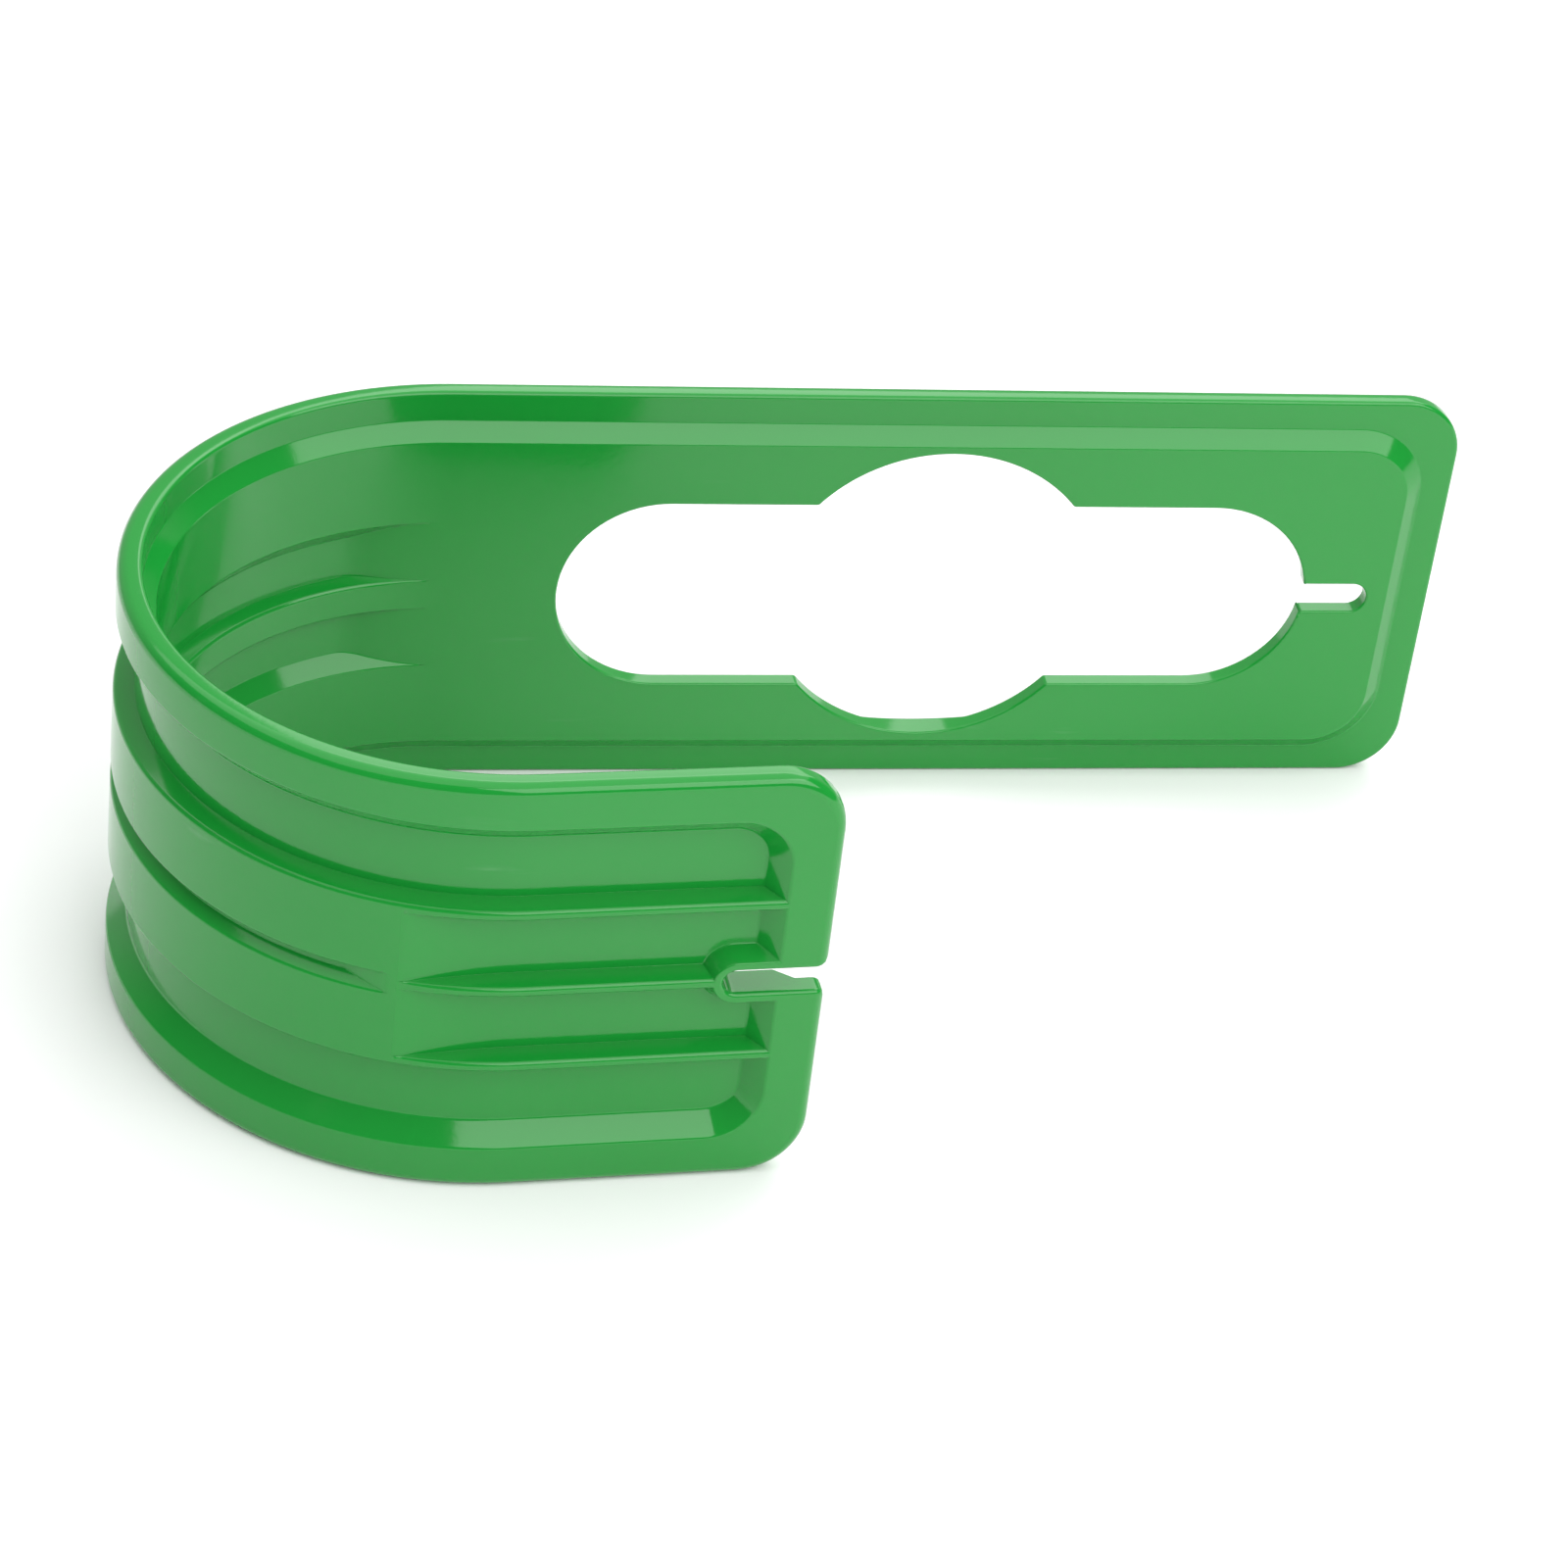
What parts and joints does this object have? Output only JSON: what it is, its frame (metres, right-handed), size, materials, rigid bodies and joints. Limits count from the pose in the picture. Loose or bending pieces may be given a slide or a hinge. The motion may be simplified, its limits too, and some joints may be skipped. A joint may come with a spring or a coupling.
{
  "type": "hose hanger",
  "caption": "J-shaped moulded plastic strip that hangs a coiled hose: tall back plate with a tap hole and screw slot, round bend, and a ribbed front lip with a notch.",
  "frame": {"origin": "middle of the bounding box, on the surface that the long edge stands on", "axes": "+X along the back plate from the bend to the free end, +Y out of the back plate's rear face, +Z up across the strip's width. The part stands on its long edge; on a wall, +X points up and +Y into the wall."},
  "size_m": [0.2398, 0.1186, 0.08],
  "materials": {
    "green_plastic": "gloss"
  },
  "bodies": {
    "root": {"hanger": "green_plastic"}
  },
  "joints": []
}
